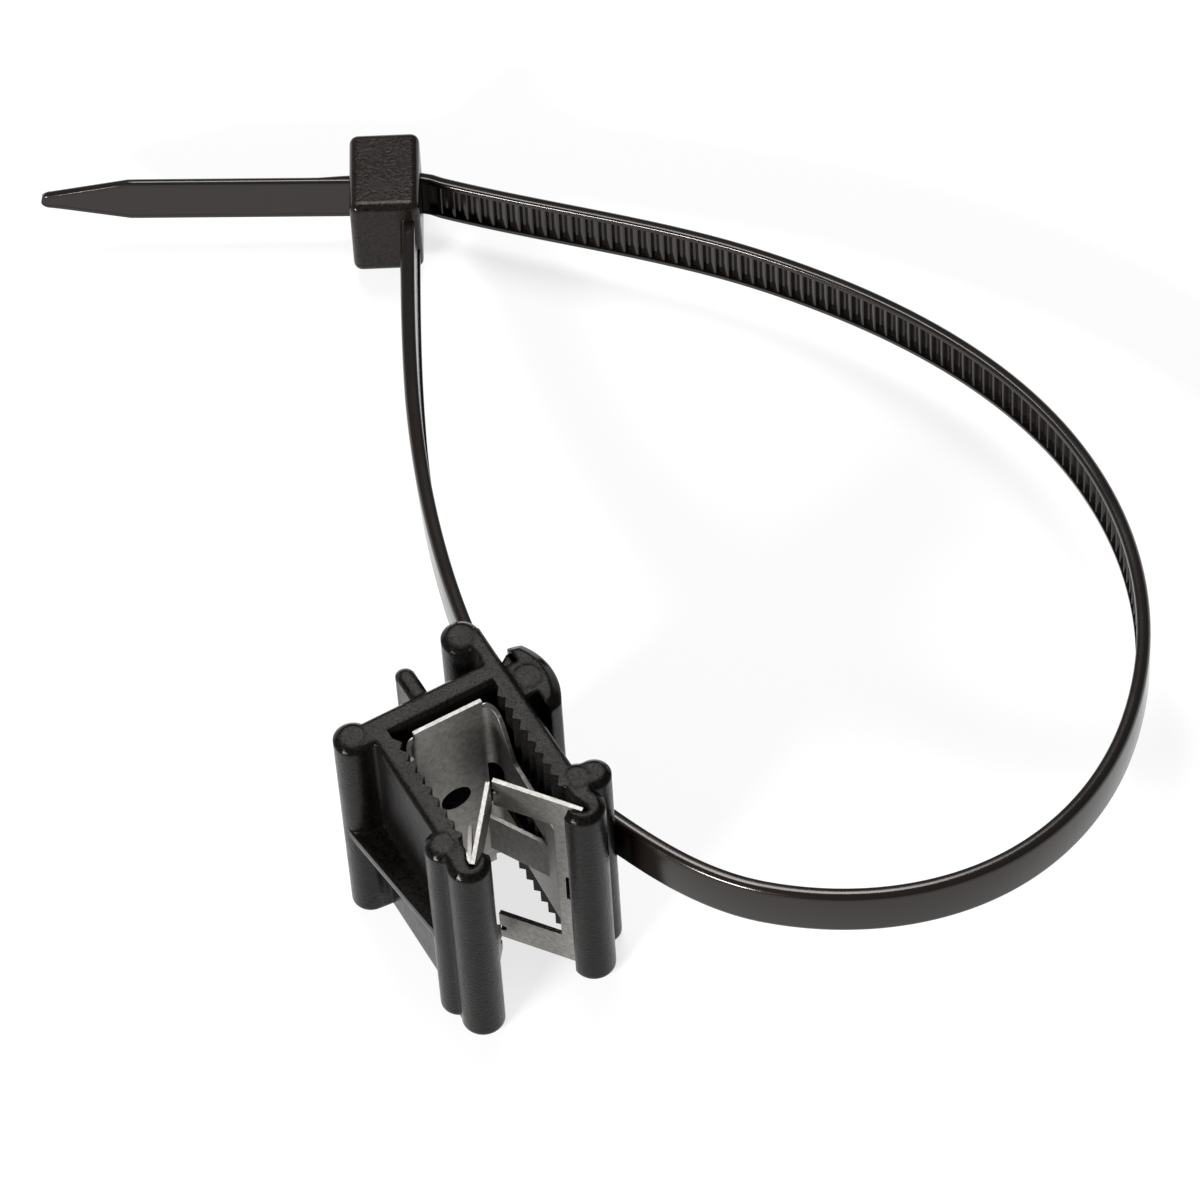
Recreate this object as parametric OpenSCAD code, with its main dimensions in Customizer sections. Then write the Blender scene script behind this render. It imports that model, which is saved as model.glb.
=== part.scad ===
// Panel-edge clip with a spring-steel insert and a cable tie threaded through its side saddle.
// Millimetres. X = 0 is the mirror plane of the jaws, Y = 0 the plane across the mouth, Z = 0 the
// mid height. +Y runs from the mouth to the back wall, +X to the side that carries the tie.

/* [Clip body] */
// Height of the clip along the panel edge
clip_h = 25; // [21:0.5:30]
// Width between the tooth roots of the two walls
cavity_w = 10; // [9.4:0.1:11.6]
// Depth from the mouth plane to the inner face of the back wall
cavity_l = 16.1; // [15.2:0.1:18]
// Thickness of a side wall behind its teeth
wall_t = 1.5; // [1.3:0.1:2]
// Thickness of the back wall
back_t = 2.1; // [1.6:0.1:2.6]
// Chamfer of the edges of walls and bars
edge_c = 0.3; // [0.15:0.05:0.4]
// Chamfer of the ends of the round posts
post_c = 0.5; // [0.3:0.05:0.5]

/* [Wall teeth] */
// Distance from one tooth to the next
tooth_pitch = 1.28; // [1:0.02:1.6]
// Depth of a tooth
tooth_depth = 0.52; // [0.3:0.02:0.6]
// Tip of the first tooth, from the mouth plane
tooth_start = 4.45; // [4.2:0.05:4.8]
// Part of the pitch taken by the flank that faces the mouth
tooth_bite = 0.4; // [0.2:0.05:0.6]

/* [Front curls] */
// Radius of the curled front edge of each wall
curl_r = 1.85; // [1.7:0.05:1.95]
// Distance of the curl centre outward from the tooth roots
curl_out = 0.35; // [0.2:0.05:0.5]
// Radius of the seat that holds the edge of the steel
seat_r = 0.34; // [0.32:0.02:0.4]
// Distance of the seat outward from the tooth roots
seat_out = 0.25; // [0.15:0.05:0.35]
// Distance of the seat from the mouth plane
seat_y = 1.42; // [1.35:0.02:1.5]

/* [Front bosses] */
// Distance of both front bosses from the mouth plane
boss_y = 4.38; // [4.2:0.02:4.6]
// Radius of the front bosses
boss_r = 1.62; // [1.4:0.02:1.7]
// Distance of a boss centre inward from the outer wall face
boss_in = 0.25; // [0.2:0.05:0.5]
// Distance of the strap bulge outward from the right wall
bulge_out = 1.15; // [0.9:0.05:1.3]
// Radius of the strap bulge
bulge_r = 1.48; // [1.3:0.02:1.52]
// Distance the strap bulge sits nearer the mouth than the boss
bulge_lead = 0.2; // [0:0.05:0.4]
// Depth of the flat on the bulge where the strap lies
land_depth = 0.55; // [0.3:0.05:0.6]

/* [Corner boss and rib] */
// Radius of the boss at the back left corner
corner_r = 1.66; // [1.5:0.02:1.76]
// Distance of the corner boss outward from the left wall
corner_out = 1.2; // [1:0.05:1.4]
// Height of the rib between the two left bosses
rib_h = 1.1; // [0.8:0.1:2]
// Height of the middle of the rib over the mid plane
rib_z = -0.45; // [-1:0.05:1]

/* [Back finger] */
// Distance of the finger left of the mirror plane
finger_x = 0.95; // [0.6:0.05:1.4]
// Thickness of the finger
finger_w = 1.65; // [1.3:0.05:1.8]
// Length of the finger behind the back wall
finger_l = 3.4; // [2.6:0.1:3.6]
// Distance of the ends of the finger below the ends of the clip
finger_drop = 0.3; // [0.2:0.1:0.8]

/* [Back hook] */
// Thickness of the hook arm beside its pocket
arm_t = 1.35; // [1.1:0.05:1.5]
// Distance from the back wall to the middle of the hook post
hook_l = 3.35; // [3.2:0.05:3.6]
// Radius of the hook post
hook_r = 1.7; // [1.6:0.02:1.76]
// Width of the pocket between hook and back wall
pocket_w = 1.75; // [1.5:0.05:1.8]

/* [Strap saddle] */
// Distance of the saddle from the mouth plane
saddle_y = 15.4; // [14.8:0.1:15.6]
// Distance of the top of the saddle below the top of the clip
saddle_drop = 0.4; // [0.3:0.05:0.6]
// Length of the stem that carries the cap
stem_l = 3.5; // [3:0.05:4]
// Gap between the wall and the cap
saddle_gap = 1.25; // [1:0.05:1.3]
// Reach of the cap outward from the wall
cap_out = 3.5; // [3.4:0.05:3.7]
// Radius of the outer face of the cap
cap_r = 6; // [5.5:0.1:7]
// Length of the cap
cap_l = 7.4; // [7:0.1:7.8]
// Chamfer of the cap's upper rim
cap_c = 0.8; // [0.5:0.05:0.9]
// Distance of the ends of the back web from the ends of the clip
web_drop = 1.7; // [1.2:0.1:2.5]

/* [Ejector marks] */
// Distance of a mark's rim inward from the rim of its boss
mark_in = 0.58; // [0.54:0.02:0.7]
// Radius of the mark on the saddle stem
stem_mark_r = 1.15; // [0.8:0.05:1.2]
// Depth of the marks
mark_depth = 0.06; // [0.04:0.02:0.15]

/* [Spring sheet] */
// Thickness of the steel sheet
sheet_t = 0.4; // [0.3:0.05:0.45]
// Distance of the ends of the spring below the ends of the clip
spring_drop = 0.3; // [0.1:0.1:0.8]
// Gap between the back plate and the back wall
plate_gap = 0.7; // [0.4:0.05:0.9]
// Width of the tall middle part of the back plate
plate_w = 6.4; // [5.8:0.1:6.6]
// Drop from the plate's end to its shoulder
shoulder_drop = 0.8; // [0.6:0.1:1.2]
// Fall of the shoulder round the bend
shoulder_fall = 0.7; // [0.4:0.1:1]
// Inner radius of the bends between plate and legs
bend_r = 0.9; // [0.6:0.05:1]
// Diameter of the hole in the back plate
hole_d = 2.8; // [2:0.1:3.2]

/* [Spring legs] */
// Gap between a leg and the tooth tips beside the plate
leg_gap = 0.15; // [0.1:0.05:0.3]
// Distance by which each leg leans in toward the mouth
leg_lean = 0.4; // [0.2:0.05:0.6]
// Start of the rise of the leg toward the plate, from the mouth plane
rise_y = 11; // [10.2:0.1:11.2]
// Length of that rise
rise_l = 3.1; // [2.8:0.1:3.3]
// Height of the window in each leg
window_h = 5.9; // [5.6:0.1:6.4]

/* [Spring tongues] */
// Width of the top and bottom tongues
tongue_w = 3.6; // [3:0.1:4]
// Height of the slit between a tongue and the leg
tongue_slit = 1.65; // [1.2:0.05:2]
// Distance of the tongue tips from the mirror plane
nip = 0.22; // [0.2:0.02:0.6]
// Distance of the tongue tips from the mouth plane
tongue_y = 7.9; // [7.4:0.1:8.4]
// Depth of the notch in each tongue tip
notch = 0.6; // [0.3:0.05:0.8]
// Length by which the bottom right tongue is longer; the bottom left one is shorter by twice that
stagger = 0.45; // [0.1:0.05:0.6]
// Height of the relief hole in the flange beside the fold
relief_h = 3.5; // [2.4:0.1:4.4]
// Height of the middle of that hole over the mid plane
relief_z = -0.75; // [-1.5:0.05:0.5]
// Width of that hole
relief_w = 0.9; // [0.6:0.05:1]
// Distance of that hole from the fold
relief_in = 0.35; // [0.3:0.05:0.5]
// Width of the middle tongues
mid_w = 4.8; // [4.2:0.1:5]
// Root of the middle tongues, from the mouth plane
mid_y = 5.6; // [5.2:0.1:6]
// Distance of the middle tongue tips from the mirror plane
mid_nip = 0.95; // [0.7:0.05:1.3]
// Distance of the middle tongue tips from the mouth plane
mid_tip_y = 10.7; // [10.2:0.1:11.2]

/* [Tie strap] */
// Width of the strap
strap_w = 4.6; // [4:0.1:4.8]
// Thickness of the strap over its rails
strap_t = 1.2; // [1.1:0.05:1.3]
// Width of the plain rail at each edge
rail_w = 0.55; // [0.4:0.05:0.8]
// Depth of the toothed band below the rails
band_depth = 0.55; // [0.4:0.05:0.6]
// Distance from one strap tooth to the next
ladder_pitch = 1.235; // [1.1:0.005:1.5]
// Plain length of strap between the head and the first tooth
plain_l = 38; // [20:1:44]
// Thickness of the plain strap beside the head
neck_t = 1.05; // [0.9:0.05:1.1]
// Room on each side of the strap in the saddle
strap_clear = 0.36; // [0.34:0.02:0.5]
// Room between the strap and the flat of the bulge
bulge_clear = 0.34; // [0.3:0.02:0.4]

/* [Tie loop] */
// Tilt of the tie out of level
tilt = 6.7; // [5:0.1:6.8]
// Direction of the tilt axis, in plan
tilt_axis = -30.4; // [-36:0.2:-28]
// Reach of the loop to the right of the saddle
loop_w = 56.8; // [53:0.1:59]
// Reach of the loop in front of the saddle
loop_front = 31; // [29:0.1:33]
// Distance of the head to the right of the saddle
head_x = 17.9; // [16:0.1:19]
// Distance of the head behind the saddle
head_y = 59.5; // [57:0.1:60]
// Turn of the head in plan
head_turn = -28; // [-31:0.5:-26]

/* [Tie head] */
// Length of the head along the strap that leaves it
head_l = 9.5; // [9.2:0.1:9.8]
// Length of the head along the passage
head_t = 6.3; // [6:0.1:7]
// Width of the head beyond each strap edge
head_side = 1.9; // [1.6:0.1:2.2]
// Radius of the edges of the head
head_r = 0.85; // [0.3:0.05:1]
// Middle of the passage, from the root face of the head
passage_y = 5.75; // [5.4:0.05:6]
// Room on each side of the strap in the passage
passage_clear = 0.22; // [0.16:0.02:0.3]
// Distance of the strap root inward from the entry face
root_in = 0.6; // [0.4:0.05:0.8]

/* [Tie tail] */
// Length of the tail behind the head
tail_l = 28.1; // [22:0.1:32]
// Thickness of the tail
tail_t = 0.95; // [0.85:0.05:1.05]
// Length of the taper at its tip
taper_l = 8; // [6:0.1:10]
// Width of the tip
tip_w = 1.7; // [1.4:0.1:2.4]
// Turn of the tail against the passage
tail_turn = -2.5; // [-6:0.5:0]

/* [Hidden] */
$fn = 64;
// Overlap by which joined pieces run into each other, and excess of a cut
lap = 0.4;
// Set-back of a face from the one beside it, so that the two never touch along a line
skin = 0.03;
// Half measures of the clip
half_h = clip_h / 2;
root_x = cavity_w / 2;
outer_x = root_x + wall_t;
back_y = cavity_l + back_t / 2;
// Plan places of the round features
curl = [root_x + curl_out, curl_r];
seat = [root_x + seat_out, seat_y];
boss = [outer_x - boss_in, boss_y];
bulge = [outer_x + bulge_out, boss_y - bulge_lead];
corner = [-outer_x - corner_out, cavity_l + 0.6 * back_t];
corner_neck = [0.72, 0.9];
left_neck = flip(curl) + [-0.3, 0.8];
left_neck_r = curl_r - 0.45;
// Widths of the pads that make one face of a curl and its boss, and of the boss and the bulge
pad_w = 2.1;
bulge_pad_w = 2.6;
finger = [-finger_x, cavity_l + back_t + finger_l - finger_w / 2];
hook = [outer_x - hook_r - skin, cavity_l + back_t + hook_l];
// Lip of a curl over the steel, and the plain wall behind the curl
lip = curl + [0.5 - curl_r, 0.12];
lip_run = 0.9;
lip_fall = 0.35;
wall_start = curl[1] + 1.05;
// Wall teeth between the first tip and the back wall
rack_start = wall_start + 0.15;
tooth_count = floor((cavity_l - tooth_start) / tooth_pitch);
// Spring in plan
spring_half = half_h - spring_drop;
plate_mid = cavity_l - plate_gap - sheet_t / 2;
leg_x = root_x - tooth_depth - leg_gap - sheet_t / 2;
leg_front_x = leg_x - leg_lean;
leg_half = spring_half - tongue_w - tongue_slit;
bend_mid = bend_r + sheet_t / 2;
flange_set = [-0.1, 0.13];
flange = seat + flange_set;
tongue_tip = [nip, tongue_y];
fold_share = (flange[0] - leg_front_x) / (flange[0] - nip);
fold = flange + fold_share * (tongue_tip - flange);
mid_root = [leg_front_x + leg_lean * (mid_y - fold[1]) / (plate_mid - bend_mid - fold[1]), mid_y];
notch_at = 0.6 * tongue_w;
// Strap in the saddle
saddle = [outer_x + strap_clear + strap_t / 2, saddle_y];
slot_flare = 0.4;
slot_rise = 0.8;
slot_d = strap_t + 2 * strap_clear + slot_flare;
slot_h = strap_w + 2 * strap_clear + slot_rise;
saddle_top = half_h - saddle_drop;
cap_shift = 0.3;
web_in = 0.2;
web_toe = 0.7;
// Place where the strap passes the bulge, seen from the saddle
bulge_turn = 18;
past_bulge = bulge - saddle
    + (bulge_r - land_depth + bulge_clear + strap_t / 2) * [cos(bulge_turn), sin(bulge_turn)];
// Head frame: x along the passage, y along the strap that leaves the head
head_w = strap_w + 2 * head_side;
root_off = head_t / 2 - root_in - neck_t + strap_t / 2;

function flip(p) = [-p[0], p[1]];
function bearing(a) = [cos(a), sin(a)];
function strap_level(p) = sin(tilt) * (sin(tilt_axis) * p[0] - cos(tilt_axis) * p[1]);
function backward(list) = [for (i = [len(list) - 1:-1:0]) list[i]];

// Left-hand normal of a path at one of its points, lengthened for the mitre
function ahead(p, i) = let (d = p[min(i + 1, len(p) - 1)] - p[min(i, len(p) - 2)]) d / norm(d);
function behind(p, i) = let (d = p[max(i, 1)] - p[max(i - 1, 0)]) d / norm(d);
function mitre(p, i) =
    let (m = ahead(p, i) + behind(p, i))
    2 * [-m[1], m[0]] / (m * m);
function beside(p, d) = [for (i = [0:len(p) - 1]) p[i] + d * mitre(p, i)];
function ribbon(p, t) = concat(beside(p, t / 2), backward(beside(p, -t / 2)));

// Section of a bar with all four long edges chamfered
function bar_section(w, h) =
    let (x = w / 2, z = h / 2)
    [[edge_c - x, -z], [x - edge_c, -z], [x, edge_c - z], [x, z - edge_c],
     [x - edge_c, z], [edge_c - x, z], [-x, z - edge_c], [-x, edge_c - z]];

// Round post on the mid plane with chamfered ends
module post(place, r, h = clip_h, low_c = post_c, high_c = post_c) {
    z = h / 2;
    translate(place)
        rotate_extrude()
            polygon([[0, -z], [r - low_c, -z], [r, low_c - z], [r, z - high_c], [r - high_c, z], [0, z]]);
}

// Straight bar between two plan points
module bar(from, to, w, h = clip_h) {
    run = to - from;
    translate(from)
        rotate(atan2(run[1], run[0]))
            rotate([90, 0, 90])
                linear_extrude(norm(run))
                    polygon(bar_section(w, h));
}

// Plan shape raised between two heights
module raised(low, high) {
    translate([0, 0, low])
        linear_extrude(high - low)
            children();
}

// Room inside one jaw: wall face, seat for the steel and the lip of the curl
module jaw_room() {
    seat_ends = [-130, 20];
    union() {
        polygon(concat(
            [[-lap, lip[1] - lip_fall], [lip[0] - lip_run, lip[1] - lip_fall],
             [lip[0] - lip_run / 3, lip[1] - lip_fall / 2], lip],
            [for (a = seat_ends) seat + seat_r * bearing(a)],
            [[root_x, wall_start], [root_x, cavity_l], [-lap, cavity_l]]));
        translate(seat)
            circle(seat_r);
    }
}

// Saw teeth of one wall, run through the full height
module tooth_rack() {
    first = tooth_start - tooth_bite * tooth_pitch;
    raised(-half_h, half_h)
        polygon(concat(
            [[root_x + lap, rack_start], [root_x, rack_start]],
            [for (i = [0:tooth_count - 1], tip = [0, 1])
                [root_x - tip * tooth_depth, first + (i + tip * tooth_bite) * tooth_pitch]],
            [[root_x, first + tooth_count * tooth_pitch],
             [root_x, cavity_l + lap], [root_x + lap, cavity_l + lap]]));
}

// Cap on a stem, pierced at mid height for the strap; it stands level with the lower end of the clip
module strap_saddle() {
    saddle_h = saddle_top + half_h;
    lift = saddle_top - saddle_h / 2;
    stem_front = saddle_y - stem_l / 2;
    stem_back = saddle_y + stem_l / 2;
    cap_x = outer_x + saddle_gap;
    web_x = cap_x + lap / 2;
    web_end = saddle_y + cap_l / 2 - web_in;
    difference() {
        union() {
            intersection() {
                post([outer_x + cap_out - cap_r, saddle_y, lift], cap_r, saddle_h, edge_c, cap_c);
                post([cap_x - cap_shift, saddle_y, lift], cap_l / 2, saddle_h, edge_c, cap_c);
                translate([cap_x, saddle_y - cap_l, -clip_h])
                    cube([cap_out, 2 * cap_l, 2 * clip_h]);
            }
            translate([outer_x - lap, stem_front, -half_h])
                cube([saddle_gap + 2 * lap, stem_l, saddle_h]);
            raised(web_drop - half_h, half_h - web_drop)
                polygon([[outer_x - lap, stem_back - lap], [web_x, stem_back - lap], [web_x, web_end],
                         [cap_x - web_in, web_end], [outer_x - lap, stem_back + web_toe]]);
        }
        translate([outer_x, saddle_y - cap_l, -slot_h / 2])
            cube([slot_d, 2 * cap_l, slot_h]);
    }
}

// Bulge that the strap bends round, with a flat where the strap lies
module strap_bulge() {
    difference() {
        post(bulge, bulge_r);
        translate([bulge[0], bulge[1], strap_level(past_bulge)])
            rotate(bulge_turn)
                translate([bulge_r - land_depth, -bulge_r, -slot_h / 2])
                    cube([bulge_r, 2 * bulge_r, slot_h]);
    }
}

// Arm of the back hook, with a round-ended pocket between the hook and the back wall
module hook_arm() {
    arm_w = outer_x - hook[0];
    pocket = [outer_x - arm_t - pocket_w / 2, cavity_l + back_t + pocket_w / 2 + skin];
    difference() {
        bar([outer_x - arm_w / 2, back_y], [outer_x - arm_w / 2, hook[1]], arm_w);
        raised(-clip_h, clip_h)
            union() {
                translate(pocket)
                    circle(d = pocket_w);
                translate(pocket - [arm_w, pocket_w / 2])
                    square([arm_w, pocket_w]);
            }
    }
}

// Shallow disc left by an ejector pin
module mark(place, r, top = half_h) {
    translate([place[0], place[1], top - mark_depth])
        cylinder(h = lap, r = r);
}

module clip_body() {
    wall_x = root_x + wall_t / 2;
    color("#3a3836") {
        difference() {
            union() {
                // Side walls, back wall and hook arm
                bar([wall_x, curl[1]], [wall_x, back_y], wall_t);
                bar([-wall_x, curl[1]], [-wall_x, back_y], wall_t);
                bar([corner[0], back_y], [wall_x, back_y], back_t);
                hook_arm();
                post(hook, hook_r);
                // Curled front edges and bosses
                post(curl, curl_r);
                post(flip(curl), curl_r);
                post(left_neck, left_neck_r);
                bar(curl, boss, pad_w);
                bar(flip(curl), flip(boss), pad_w);
                post(boss, boss_r);
                post(flip(boss), boss_r);
                bar(boss, bulge, bulge_pad_w);
                strap_bulge();
                // Corner boss with its neck and the rib along the left wall
                post(corner, corner_r);
                bar(corner - [0, corner_neck[0]], [-wall_x, corner[1] - corner_neck[1]], corner_r);
                raised(rib_z - rib_h / 2, rib_z + rib_h / 2)
                    polygon([[-wall_x, boss_y], flip(boss) + [skin - boss_r, 0],
                             corner + [skin - corner_r, 0], [-wall_x, corner[1]]]);
                // Finger behind the back wall
                post(finger, finger_w / 2, clip_h - 2 * finger_drop);
                bar([finger[0], back_y], finger, finger_w - 2 * skin, clip_h - 2 * finger_drop);
            }
            raised(-clip_h, clip_h)
                union() {
                    jaw_room();
                    mirror([1, 0])
                        jaw_room();
                }
            mark(boss, boss_r - mark_in);
            mark(flip(boss), boss_r - mark_in);
            mark(corner, corner_r - mark_in);
            mark(hook, hook_r - mark_in);
        }
        tooth_rack();
        mirror([1, 0, 0])
            tooth_rack();
        difference() {
            strap_saddle();
            mark([outer_x + stem_mark_r + 2 * skin, saddle_y], stem_mark_r, saddle_top);
        }
    }
}

// Outline of plate and legs seen from the side: the legs rise in an S to the bend, then slope to the plate
module leg_outline() {
    shoulder = spring_half - shoulder_drop;
    foot = shoulder - shoulder_fall;
    steps = 10;
    edge = concat([[0, leg_half]],
        [for (i = [0:steps])
            [rise_y + rise_l * i / steps, leg_half + (foot - leg_half) * (1 - cos(180 * i / steps)) / 2]],
        [[plate_mid, shoulder], [cavity_l, shoulder]]);
    polygon(concat(edge, [for (p = backward(edge)) [p[0], -p[1]]]));
}

// Flat tongue between two plan points, in its own frame: x along the tongue
module tongue(from, to, low, high) {
    run = to - from;
    translate(from)
        rotate(atan2(run[1], run[0]))
            translate([0, -sheet_t / 2, low])
                cube([norm(run), sheet_t, high - low]);
}

// Notch in the tip of a tongue
module tip_notch(tip, z) {
    translate([tip[0], tip[1], z])
        rotate([0, 45, 0])
            cube([notch, 2 * notch, notch], center = true);
}

// Flange in the seat, the fold to the leg and the three tongues of one jaw
module jaw_steel(longer) {
    low = spring_half - tongue_w;
    bite = (tongue_tip - flange) / norm(tongue_tip - flange);
    low_tip = tongue_tip + longer * bite;
    difference() {
        union() {
            tongue(flange, fold + lap * bite, -spring_half, spring_half);
            tongue(flange, tongue_tip, low, spring_half);
            tongue(flange, low_tip, -spring_half, -low);
        }
        tip_notch(tongue_tip, low + notch_at);
        tip_notch(low_tip, -low - notch_at);
        translate(fold)
            rotate(atan2(bite[1], bite[0]))
                translate([-relief_in - relief_w, -sheet_t, relief_z - relief_h / 2])
                    cube([relief_w, 2 * sheet_t, relief_h]);
    }
    tongue(mid_root, [mid_nip, mid_tip_y], -mid_w / 2, mid_w / 2);
}

module spring_clip() {
    arc_steps = 8;
    bend = [leg_x - bend_mid, plate_mid - bend_mid];
    arc = [for (i = [0:arc_steps]) bend + bend_mid * bearing(90 * i / arc_steps)];
    half_path = concat([fold], arc);
    path = concat(half_path, [for (p = backward(half_path)) flip(p)]);
    color("#6a6865")
        difference() {
            union() {
                difference() {
                    intersection() {
                        raised(-spring_half, spring_half)
                            polygon(ribbon(path, sheet_t));
                        union() {
                            rotate([90, 0, 90])
                                raised(-outer_x, outer_x)
                                    leg_outline();
                            translate([-plate_w / 2, plate_mid - sheet_t, -spring_half])
                                cube([plate_w, 2 * sheet_t, 2 * spring_half]);
                        }
                    }
                    for (side = [-1, 1])
                        translate([side * (plate_w / 2 + root_x), (mid_y + lap + cavity_l) / 2, 0])
                            cube([2 * root_x, cavity_l - mid_y - lap, window_h], center = true);
                }
                jaw_steel(stagger);
                mirror([1, 0, 0])
                    jaw_steel(-2 * stagger);
            }
            translate([0, plate_mid, 0])
                rotate([90, 0, 0])
                    cylinder(h = 4 * sheet_t, d = hole_d, center = true);
        }
}

// Plan place of a point given in the head's frame
function in_head(p) = [head_x, head_y] + [p[0] * cos(head_turn) - p[1] * sin(head_turn),
                                          p[0] * sin(head_turn) + p[1] * cos(head_turn)];

// Waypoints of the strap from the head round the loop, through the head and to the tip, seen from
// the saddle: x, y, heading
root_sunk = 0.8;
leaving = in_head([root_off, root_sunk]);
entry = in_head([head_t / 2, passage_y]);
exit = in_head([-head_t / 2, passage_y]);
tail_way = 180 + head_turn + tail_turn;
tip_end = exit + tail_l * bearing(tail_way);
run_slant = 21.7;
run_up = entry + 2 * bearing(head_turn - run_slant);
loop_waypoints = [
    [leaving[0], leaving[1], head_turn - 90],
    [0.565 * head_x, 0.665 * head_y, -114.9],
    [0.154 * head_x, 0.331 * head_y, -105.2],
    [0, 0, -90],
    [past_bulge[0], past_bulge[1], bulge_turn - 90],
    [0.159 * loop_w, -0.765 * loop_front, -43.9],
    [0.523 * loop_w, -0.999 * loop_front, 8.2],
    [0.776 * loop_w, -0.767 * loop_front, 43],
    [0.999 * loop_w, 0.102 * head_y, 90],
    [0.792 * loop_w, 0.649 * head_y, 124.8],
    [run_up[0], run_up[1], 180 + head_turn - run_slant]];
waypoints = concat(loop_waypoints, [
    [entry[0], entry[1], 180 + head_turn],
    [exit[0], exit[1], tail_way],
    [tip_end[0], tip_end[1], tail_way]]);

// Smooth curve through the waypoints, near to arcs
function curve(a, b, t) =
    let (p = [a[0], a[1]], q = [b[0], b[1]])
    let (pull = norm(q - p) / pow(cos((b[2] - a[2]) / 4), 2))
    (1 + 2 * t) * pow(1 - t, 2) * p + t * pow(1 - t, 2) * pull * bearing(a[2])
    + t * t * (3 - 2 * t) * q - t * t * (1 - t) * pull * bearing(b[2]);
spans = 24;
line = concat(
    [for (i = [0:len(waypoints) - 2], j = [0:spans - 1]) curve(waypoints[i], waypoints[i + 1], j / spans)],
    [tip_end]);
// Length along the curve at each of its points, and tables of place against length
function step_from(i) = norm(line[min(i + 1, len(line) - 1)] - line[i]);
length_at = [for (i = 0, s = 0; i < len(line); s = s + step_from(i), i = i + 1) s];
along_x = [for (i = [0:len(line) - 1]) [length_at[i], line[i][0]]];
along_y = [for (i = [0:len(line) - 1]) [length_at[i], line[i][1]]];
loop_l = length_at[spans * len(loop_waypoints)];
path_l = length_at[len(line) - 1];
function spot(s) = [lookup(s, along_x), lookup(s, along_y)];
probe = 0.3;
function shift(s, d) =
    let (way = spot(s + probe) - spot(s - probe))
    spot(s) + d * [-way[1], way[0]] / norm(way);

// Plan outline of the strap: smooth outside, rails or teeth inside
ladder_count = floor((loop_l - plain_l) / ladder_pitch);
smooth_step = 1.6;
smooth_count = ceil(path_l / smooth_step);
neck_d = neck_t - strap_t / 2;
neck_rise = 6;
function inner_d(s) = lookup(s, [[0, neck_d], [plain_l - neck_rise, neck_d], [plain_l, strap_t / 2]]);
tail_from = path_l - tail_l;
tail_rise = 3;
function outer_d(s) = lookup(s, [[tail_from, -strap_t / 2], [tail_from + tail_rise, strap_t / 2 - tail_t]]);
function outer_side() =
    [for (i = [0:smooth_count]) let (s = path_l * i / smooth_count) shift(s, outer_d(s))];
function rail_side() =
    [for (i = [0:smooth_count]) let (s = path_l * i / smooth_count) shift(s, inner_d(s))];
tooth_below = 0.1;
tail_steps = 8;
function toothed_side() =
    let (floor_d = strap_t / 2 - band_depth, tip = strap_t / 2 - tooth_below)
    let (last = plain_l + ladder_count * ladder_pitch)
    concat(
        [for (i = [0:floor(plain_l / smooth_step) - 1]) shift(i * smooth_step, inner_d(i * smooth_step))],
        [for (i = [0:ladder_count - 1], k = [[0, floor_d], [0.15, tip], [0.8, floor_d]])
            shift(plain_l + (i + k[0]) * ladder_pitch, k[1])],
        [shift(last, floor_d)],
        [for (i = [0:tail_steps]) shift(last + (path_l - last) * i / tail_steps, strap_t / 2)]);

// Box with all edges rounded: one rounded plate along each axis, intersected
module round_rect(size, r) {
    union() {
        square(size - [2 * r, 0], center = true);
        square(size - [0, 2 * r], center = true);
        for (x = [-1, 1], y = [-1, 1])
            translate([x * (size[0] / 2 - r), y * (size[1] / 2 - r)])
                circle(r);
    }
}

module round_box(size, r) {
    intersection() {
        linear_extrude(size[2], center = true)
            round_rect([size[0], size[1]], r);
        rotate([90, 0, 0])
            linear_extrude(size[1], center = true)
                round_rect([size[0], size[2]], r);
        rotate([90, 0, 90])
            linear_extrude(size[0], center = true)
                round_rect([size[1], size[2]], r);
    }
}

// Head in its own frame, with the passage, the pawl room and the pawl
module tie_head() {
    passage_h = strap_t + 2 * passage_clear;
    room_side = strap_w / 2 - 0.5;
    pawl_side = strap_w / 2 - 0.7;
    pawl_low = 2.3;
    pawl_high = passage_y - passage_h / 2;
    pawl_top = pawl_high - 0.15;
    pawl_pitch = 0.9;
    pawl_bite = 0.35;
    hinge_x = head_t / 2 - 1.6;
    difference() {
        translate([0, head_l / 2, 0])
            round_box([head_t, head_l, head_w], head_r);
        translate([-head_t, passage_y - passage_h / 2, -strap_w / 2 - passage_clear])
            cube([2 * head_t, passage_h, strap_w + 2 * passage_clear]);
        translate([-head_t, pawl_low, -room_side])
            cube([head_t + hinge_x, pawl_high - pawl_low + lap, 2 * room_side]);
    }
    raised(-pawl_side, pawl_side)
        polygon(concat(
            [[hinge_x + lap, pawl_low + lap], [hinge_x + lap, pawl_top]],
            [for (i = [0:2], k = [[0.5, 0], [0.4, 1]])
                [k[0] - i * pawl_pitch, pawl_top - k[1] * pawl_bite]],
            [[-pawl_pitch, pawl_low + pawl_pitch]]));
}

// Waste beside the tapered tip, in the tail's frame: x back toward the head, y across the strap
module tip_waste() {
    tip = tip_w / 2;
    difference() {
        translate([-1, -strap_w])
            square([taper_l + 1, 2 * strap_w]);
        polygon([[taper_l + lap, strap_w], [taper_l, strap_w / 2], [tip, tip],
                 [tip, -tip], [taper_l, -strap_w / 2], [taper_l + lap, -strap_w]]);
        translate([tip, 0])
            circle(tip);
    }
}

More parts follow.
